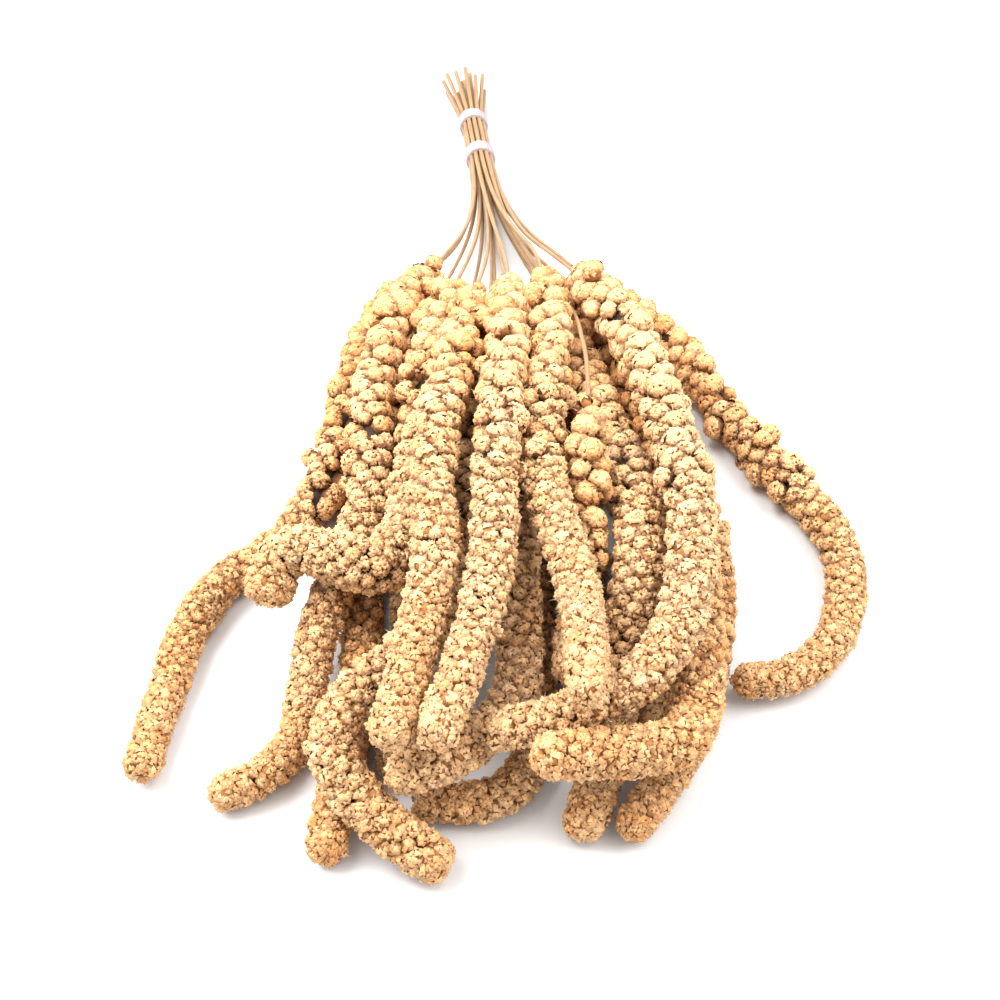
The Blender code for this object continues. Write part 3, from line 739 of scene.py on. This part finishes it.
def spread_copies(shape, places, normals, widths, heights, turns):
    """Copies of a small shape at the places, each standing on its own direction at its own size."""
    corners, faces = shape
    first, second = across(normals)
    x = np.cos(turns)[:, None] * first + np.sin(turns)[:, None] * second
    y = np.cross(normals, x)
    flat = corners[None, :, :1] * x[:, None] + corners[None, :, 1:2] * y[:, None]
    tall = corners[None, :, 2:] * normals[:, None]
    copies = places[:, None] + widths[:, None, None] * flat + heights[:, None, None] * tall
    joined = faces[None] + (np.arange(len(places)) * len(corners))[:, None, None]
    return copies.reshape(-1, 3), joined.reshape(-1, 3)


def make_mesh(name, parts, materials):
    """One object from parts, each with corners, triangles and values at its corners, in its own material."""
    corners = np.vstack([part["corners"] for part in parts])
    corners[:, 2] = np.maximum(corners[:, 2], 0.0)
    firsts = np.cumsum([0] + [len(part["corners"]) for part in parts])
    faces = np.vstack([part["faces"] + first for part, first in zip(parts, firsts)])
    slots = np.repeat(np.arange(len(parts)), [len(part["faces"]) for part in parts])
    mesh = bpy.data.meshes.new(name)
    mesh.from_pydata(corners.tolist(), [], faces.tolist())
    mesh.polygons.foreach_set("material_index", slots)
    for value in sorted(parts[0]["values"]):
        layer = mesh.attributes.new(value, "FLOAT", "POINT")
        layer.data.foreach_set("value", np.concatenate([part["values"][value] for part in parts]))
    for material in materials:
        mesh.materials.append(material)
    mesh.shade_smooth()
    mesh.update()
    round_shading(mesh, parts, firsts)
    obj = bpy.data.objects.new(name, mesh)
    bpy.context.scene.collection.objects.link(obj)
    return obj


def round_shading(mesh, parts, firsts):
    """Shades the parts that note their own directions as if they were round."""
    ways = np.empty(3 * len(mesh.vertices))
    mesh.vertex_normals.foreach_get("vector", ways)
    ways = ways.reshape(-1, 3)
    for part, first in zip(parts, firsts):
        if "ways" in part:
            ways[first:first + len(part["ways"])] = part["ways"]
    mesh.normals_split_custom_set_from_vertices(ways)


def part_of(corners, faces, tone=0.0, recess=0.0, relief=1.0):
    """Corners and triangles in one material, with the values that their material reads."""
    values = {"tone": tone, "crown": 1.0, "recess": recess, "relief": relief}
    filled = {name: np.broadcast_to(value, len(corners)) for name, value in values.items()}
    return {"corners": corners, "faces": faces, "values": filled}


def tufts_at(places):
    """How far each place is from the middle of its tuft and from the next tuft, as shares of a tuft."""
    nearest = np.array([noise.voronoi(place / TUFT_SIZE)[0][:2] for place in places])
    return nearest[:, 0], nearest[:, 1] - nearest[:, 0]


def fineness_at(share):
    """How much of its fine relief a head shows: none at its stalk, all of it further on."""
    return np.clip(share / FINE_FROM, 0, 1)


def grain_part(clusters, settings, grain, rng):
    """The grains of a head, with the places and directions that they stand on."""
    places, normals, owners, beside = grains_on(clusters, settings.grain_pitch, rng)
    inside, edge = tufts_at(places)
    fineness = fineness_at(clusters["share"][owners])
    kept = edge > PIT_WITHIN * fineness
    places, normals, owners, beside, inside, edge, fineness = (
        values[kept] for values in (places, normals, owners, beside, inside, edge, fineness))
    relief = SMOOTHEST + (1 - SMOOTHEST) * fineness
    lift = (TUFT_EVEN - inside) * TUFT_RELIEF - SUNK * settings.grain_height
    places = places + normals * (relief * lift)[:, None]
    places[:, 2] = np.maximum(places[:, 2], LEAST_LIFT)
    corners, faces, ways = grain_copies(grain, places, normals, fineness, relief, rng)
    tone = grain_tones(clusters, owners, places[:, 2], fineness, rng)
    recess = grain_painted_shade(clusters, owners, normals, beside, edge)
    part = part_of(corners, faces, *(np.repeat(values, len(grain[0])) for values in (tone, recess, relief)))
    height = grain[0][:, 2] - grain[0][:, 2].min()
    part["values"]["crown"] = np.tile(height / height.max(), len(places))
    part["ways"] = ways
    return part, places, normals


def grain_copies(grain, places, normals, fineness, relief, rng):
    """A grain on each place, flat and broad near the stalk, with the directions that shade it as round."""
    count = len(places)
    scales = np.clip(1 + GRAIN_UNEVEN * rng.normal(size=count), *GRAIN_RANGE)
    turns = rng.uniform(0, 2 * math.pi, count)
    broad = scales * (1 + BASE_SPREAD * (1 - fineness**2))
    corners, faces = spread_copies(grain, places, normals, broad, scales * relief, turns)
    rays = np.column_stack([grain[0][:, :2] / grain[0][:, 0].max(), np.ones(len(grain[0]))])
    ways, _ = spread_copies(
        (rays, grain[1]), np.zeros_like(places), normals, ROUNDNESS * relief, np.ones(count), turns)
    return corners, faces, unit(ways)


def grain_tones(clusters, owners, heights, fineness, rng):
    """How pale each grain is: paler on top of the pile and darker low in it, as painted light and shade, and
    more amber near the stalk.
    """
    tone = 0.5 + HEAD_TONE * rng.normal() + CLUSTER_TONE * clusters["tone"][owners]
    tone += GRAIN_TONE * rng.normal(size=len(owners))
    return tone + TOP_PAINTED_LIGHT - LOW_PAINTED_SHADE * np.clip(1 - heights / TOP_HEIGHT, 0, 1) - BASE_TONE * (1 - fineness)


def grain_painted_shade(clusters, owners, normals, beside, edge):
    """How dark each grain is with painted shade between clusters, on their inner sides and between tufts."""
    share = clusters["share"][owners]
    crease = np.clip(1 - beside / CREASE_REACH, 0, 1) * np.interp(share, CREASES_AT, CREASES)
    facing = (normals * clusters["out"][owners]).sum(axis=1)
    side = np.clip((SIDE_FROM - facing) / SIDE_FADE, 0, 1) * SIDE_SHADE
    crack = np.clip(1 - edge / CRACK_WIDTH, 0, 1) * CRACK_SHADE * fineness_at(share)
    return np.maximum(np.maximum(crease, side), crack)


def knob_part(clusters, knob, rng):
    """The bare middles of the clusters, with painted shade on their sides and, near the tip, in the pits
    between tufts.
    """
    middle, wide, long = clusters["middle"], clusters["wide"], clusters["long"]
    turns = rng.uniform(0, 2 * math.pi, len(middle))
    corners, faces = spread_copies(
        knob, middle, clusters["aim"], wide - KNOB_DEPTH, long - KNOB_DEPTH, turns)
    repeat = len(knob[0])
    ways = unit(corners - np.repeat(middle, repeat, axis=0))
    facing = (ways * np.repeat(clusters["out"], repeat, axis=0)).sum(axis=1)
    fineness = np.repeat(fineness_at(clusters["share"]), repeat)
    side = np.clip(HOLLOW_RATE * (HOLLOW_FROM - facing), 0, 1)
    side *= HOLLOW_AT_BASE + (1 - HOLLOW_AT_BASE) * fineness
    return part_of(corners, faces, recess=np.maximum(side, PIT_SHADE * fineness**2))


def stem_part(head):
    """The bare middle of the head, which closes what little shows between the clusters, all in painted
    shade.
    """
    rings = stem_rings(head)
    corners = np.vstack([rings[0].mean(axis=0)[None], rings.reshape(-1, 3), rings[-1].mean(axis=0)[None]])
    return part_of(corners, tube_faces(len(rings), STEM_SIDES), recess=1.0)


def bristle_part(places, normals, settings, bristle, rng):
    """Bristles that stand out between the grains."""
    some = np.flatnonzero(rng.random(len(places)) < settings.bristle_share)
    ways = unit(normals[some] + rng.normal(size=(len(some), 3)) * BRISTLE_TILT)
    widths, heights = np.ones(len(some)), rng.uniform(*BRISTLE_RANGE, len(some))
    turns = rng.uniform(0, 2 * math.pi, len(some))
    return part_of(*spread_copies(bristle, places[some], ways, widths, heights, turns))


def dress_head(name, settings, shapes, materials, rng):
    """One seed head in place of its solid: its bare middle, its grains and its bristles."""
    head = Head(name)
    clusters = clusters_on(head, settings, rng)
    grains, places, normals = grain_part(clusters, settings, shapes["grain"], rng)
    middle = knob_part(clusters, shapes["knob"], rng)
    stem = stem_part(head)
    bristles = bristle_part(places, normals, settings, shapes["bristle"], rng)
    piece = make_mesh("millet_head_" + name, [grains, middle, stem, bristles], materials)
    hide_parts("head_" + name)
    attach(piece, "root")


class MILLET_OT_seed_heads(bpy.types.Operator):
    """Covers every head with clusters of grains and bristles"""
    bl_idname = "millet.seed_heads"
    bl_label = "Seed heads"

    def execute(self, context):
        settings = context.scene.millet_heads
        shapes = {
            "grain": model_grain(settings.grain_width, settings.grain_height),
            "knob": model_knob(),
            "bristle": model_bristle(settings.bristle_width, settings.bristle_length),
        }
        core = core_material(settings)
        materials = [hull_material(settings), core, core, bristle_material(settings)]
        for number, name in enumerate(HEADS):
            dress_head(name, settings, shapes, materials, np.random.default_rng(HEAD_SEED + number))
        return {"FINISHED"}


# Stalks

def stalk_line(name):
    """The middle line of a packed stalk, from its cut end to its head."""
    middles = np.array([ring.mean(axis=0) for ring in stalk_rings(name)])
    return smooth_line(middles, np.arange(len(middles)), STALK_STEP)


def dress_stalk(name, settings, material, rng):
    """One stalk in place of its solid: thinner towards its head, and swollen at its joints."""
    line, _, run = stalk_line(name)
    joints = np.arange(rng.uniform(*FIRST_JOINT), JOINTS) * settings.joint_gap
    near = np.exp(-((run[:, None] - joints) / JOINT_WIDTH) ** 2).max(axis=1)
    thin = 1 - settings.taper * np.clip((run - TAPER_FROM) / (run[-1] - TAPER_FROM), 0, 1)
    obj = draw_straw("millet_stalk_" + name, line, thin * (1 + JOINT_SWELL * near), settings.radius)
    mark_stalk(obj, line, run, near)
    obj.data.materials.clear()
    obj.data.materials.append(material)
    obj.data.shade_smooth()
    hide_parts("stalk_" + name)
    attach(obj, "root")


def draw_straw(name, line, scales, radius):
    """A curve along the line with a round bevel, its ends closed, made a mesh."""
    deselect_all()
    bpy.ops.curve.primitive_nurbs_path_add()
    obj = bpy.context.object
    curve = obj.data
    curve.splines.clear()
    spline = curve.splines.new("POLY")
    spline.points.add(len(line) - 1)
    for point, place, scale in zip(spline.points, line, scales):
        point.co = (*place, 1)
        point.radius = scale
    curve.dimensions = "3D"
    curve.twist_mode = "MINIMUM"
    curve.bevel_depth = radius
    curve.bevel_resolution = 3
    curve.use_fill_caps = True
    obj.name = name
    bpy.ops.object.convert(target="MESH")
    obj = bpy.context.object
    obj.data.name = obj.name
    return obj


def mark_stalk(obj, line, run, near):
    """Notes at each corner of a stalk how near a joint is, and where it lies along and round the stalk."""
    corners = np.array([vertex.co[:] for vertex in obj.data.vertices])
    rows = np.argmin(((corners[:, None] - line[None]) ** 2).sum(axis=2), axis=1)
    layer = obj.data.attributes.new("joint", "FLOAT", "POINT")
    layer.data.foreach_set("value", near[rows] * JOINT_SHADE)
    _, u, v = frames_along(line)
    offset = corners - line[rows]
    round_u = (offset * u[rows]).sum(axis=1) / RIB_WIDTH
    round_v = (offset * v[rows]).sum(axis=1) / RIB_WIDTH
    place = np.column_stack([round_u, round_v, run[rows] / RIB_LENGTH])
    layer = obj.data.attributes.new("along", "FLOAT_VECTOR", "POINT")
    layer.data.foreach_set("vector", place.ravel())


class MILLET_OT_stalks(bpy.types.Operator):
    """Turns every stalk into ribbed straw with joints"""
    bl_idname = "millet.stalks"
    bl_label = "Straw stalks"

    def execute(self, context):
        settings = context.scene.millet_stalks
        material = straw_material(settings)
        for number, name in enumerate(HEADS):
            dress_stalk(name, settings, material, np.random.default_rng(STALK_SEED + number))
        return {"FINISHED"}


# Tie

def wind_tape(node, axis):
    """One band: a ring drawn out to the width of the tape, drawn in between the stalks and thickened."""
    corners = corners_of(node)
    middle = (corners.min(axis=0) + corners.max(axis=0)) / 2
    offset = corners - middle
    along = offset @ axis
    reach = np.linalg.norm(offset - along[:, None] * axis, axis=1).max() - TAPE_TIGHTER
    width = np.ptp(along)
    deselect_all()
    bpy.ops.mesh.primitive_circle_add(vertices=TAPE_TURNS, radius=reach, location=(0, 0, -width / 2))
    bpy.ops.object.transform_apply(location=True, rotation=False, scale=False)
    bpy.ops.object.mode_set(mode="EDIT")
    bpy.ops.mesh.select_all(action="SELECT")
    for _ in range(TAPE_ROWS):
        bpy.ops.mesh.extrude_edges_move(TRANSFORM_OT_translate={"value": (0, 0, width / TAPE_ROWS)})
    bpy.ops.object.mode_set(mode="OBJECT")
    obj = bpy.context.object
    for vertex in obj.data.vertices:
        draw_in(vertex, reach, width)
    thicken(obj)
    turn = Vector((0, 0, 1)).rotation_difference(Vector(axis)).to_matrix().to_4x4()
    obj.data.transform(Matrix.Translation(middle) @ turn)
    return obj


def draw_in(vertex, reach, width):
    """Draws one corner of the tape in between two stalks, and gives it a little of its creases."""
    angle = math.atan2(vertex.co.y, vertex.co.x)
    edge = abs(vertex.co.z) / (width / 2)
    crease = noise.noise(Vector((angle * TAPE_CREASES, vertex.co.z / TAPE_CREASE_WIDTH, reach / MM)))
    dip = 0.5 * (math.cos(OUTER_STALKS * angle) - 1) * TAPE_DIP * (DIP_INSIDE + (1 - DIP_INSIDE) * edge)
    share = 1 + (dip + crease * TAPE_CREASE) / reach
    vertex.co.x *= share
    vertex.co.y *= share
    vertex.co.z *= 1 - TAPE_FRAY * (1 + crease)


def thicken(obj):
    """Gives the tape its wall, inwards, and rounds its edges a little."""
    wall = obj.modifiers.new("wall", "SOLIDIFY")
    wall.thickness = TAPE_WALL
    wall.offset = -1
    rounding = obj.modifiers.new("rounding", "BEVEL")
    rounding.width = TAPE_ROUNDING
    rounding.segments = 2
    rounding.limit_method = "ANGLE"
    rounding.angle_limit = math.radians(50)
    bpy.ops.object.convert(target="MESH")
    bpy.context.object.data.shade_smooth()


class MILLET_OT_tie(bpy.types.Operator):
    """Winds paper tape round the stalks for each of the two bands"""
    bl_idname = "millet.tie"
    bl_label = "Tie bands"

    def execute(self, context):
        settings = context.scene.millet_tie
        material = tape_material(settings)
        boxes = [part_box(node) for node in TIES]
        near, far = ((low + high) / 2 for low, high in boxes)
        axis = np.array((far - near).normalized())
        for node in TIES:
            band = wind_tape(node, axis)
            band.name = band.data.name = "millet_" + node
            band.data.materials.clear()
            band.data.materials.append(material)
            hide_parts(node)
            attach(band, "root")
        return {"FINISHED"}


# Stage

class MILLET_OT_stage(bpy.types.Operator):
    """Adds the white floor, the soft light and the camera"""
    bl_idname = "millet.stage"
    bl_label = "Floor, light and camera"

    def execute(self, context):
        settings = context.scene.millet_stage
        add_floor(settings)
        add_camera(settings)
        for place, target, width, share in LIGHTS:
            add_light(place, target, width, settings.key_watts * share)
        add_room(settings)
        context.scene.view_settings.view_transform = "Standard"
        return {"FINISHED"}


def add_floor(settings):
    """The white board under the bunch."""
    deselect_all()
    bpy.ops.mesh.primitive_plane_add(size=FLOOR_WIDTH, location=(0, 0, -FLOOR_DROP))
    floor = bpy.context.object
    floor.name = "white_board"
    floor.data.materials.append(board_material(settings))


def add_camera(settings):
    """The camera before the seed tips, looking down at the bunch as the photograph does."""
    low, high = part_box("tie_near")
    tie = (low + high) / 2
    deselect_all()
    bpy.ops.object.camera_add(
        location=(tie.x + CAMERA_ASIDE, tie.y - CAMERA_BEFORE, settings.camera_height),
        rotation=(math.pi / 2 - settings.camera_pitch, 0, 0))
    camera = bpy.context.object
    camera.data.lens = settings.lens
    camera.data.sensor_width = SENSOR
    camera.data.clip_start = NEAREST
    bpy.context.scene.camera = camera


def add_light(place, target, width, watts):
    """A square soft light at a place, turned to a target."""
    deselect_all()
    bpy.ops.object.light_add(type="AREA", location=place)
    light = bpy.context.object
    light.data.size = width
    light.data.energy = watts
    way = np.array(target) - np.array(place)
    tilt = math.atan2(math.hypot(way[0], way[1]), -way[2])
    light.rotation_euler = (tilt, 0, math.atan2(way[1], way[0]) - math.pi / 2)


def add_room(settings):
    """A white room all round, which fills the shade."""
    world = bpy.data.worlds.new("white_room")
    world.use_nodes = True
    background = world.node_tree.nodes["Background"]
    background.inputs["Color"].default_value = (1, 1, 1, 1)
    background.inputs["Strength"].default_value = settings.fill
    bpy.context.scene.world = world


# Panel

class MILLET_PT_bunch(bpy.types.Panel):
    """Lists the settings and steps of the bunch"""
    bl_label = "Foxtail millet bunch"
    bl_idname = "MILLET_PT_bunch"
    bl_space_type = "VIEW_3D"
    bl_region_type = "UI"
    bl_category = "Millet"

    def draw(self, context):
        """Lists each group of settings over the step that reads them."""
        for group, _, operator in STEPS:
            box = self.layout.box()
            settings = getattr(context.scene, group)
            for name in settings.__annotations__:
                box.prop(settings, name)
            box.operator(operator.bl_idname)


STEPS = (
    ("millet_heads", MILLET_PG_heads, MILLET_OT_seed_heads),
    ("millet_stalks", MILLET_PG_stalks, MILLET_OT_stalks),
    ("millet_tie", MILLET_PG_tie, MILLET_OT_tie),
    ("millet_stage", MILLET_PG_stage, MILLET_OT_stage),
)


def register():
    """Makes the settings, the steps and the panel known to Blender."""
    for group, settings, operator in STEPS:
        bpy.utils.register_class(settings)
        bpy.utils.register_class(operator)
        setattr(bpy.types.Scene, group, bpy.props.PointerProperty(type=settings))
    bpy.utils.register_class(MILLET_PT_bunch)


def unregister():
    """Takes them out again."""
    bpy.utils.unregister_class(MILLET_PT_bunch)
    for group, settings, operator in reversed(STEPS):
        delattr(bpy.types.Scene, group)
        bpy.utils.unregister_class(operator)
        bpy.utils.unregister_class(settings)


def main():
    """Dresses the bunch step by step."""
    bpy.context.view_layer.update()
    register()
    bpy.ops.millet.seed_heads()
    bpy.ops.millet.stalks()
    bpy.ops.millet.tie()
    bpy.ops.millet.stage()


if __name__ == "__main__":
    main()
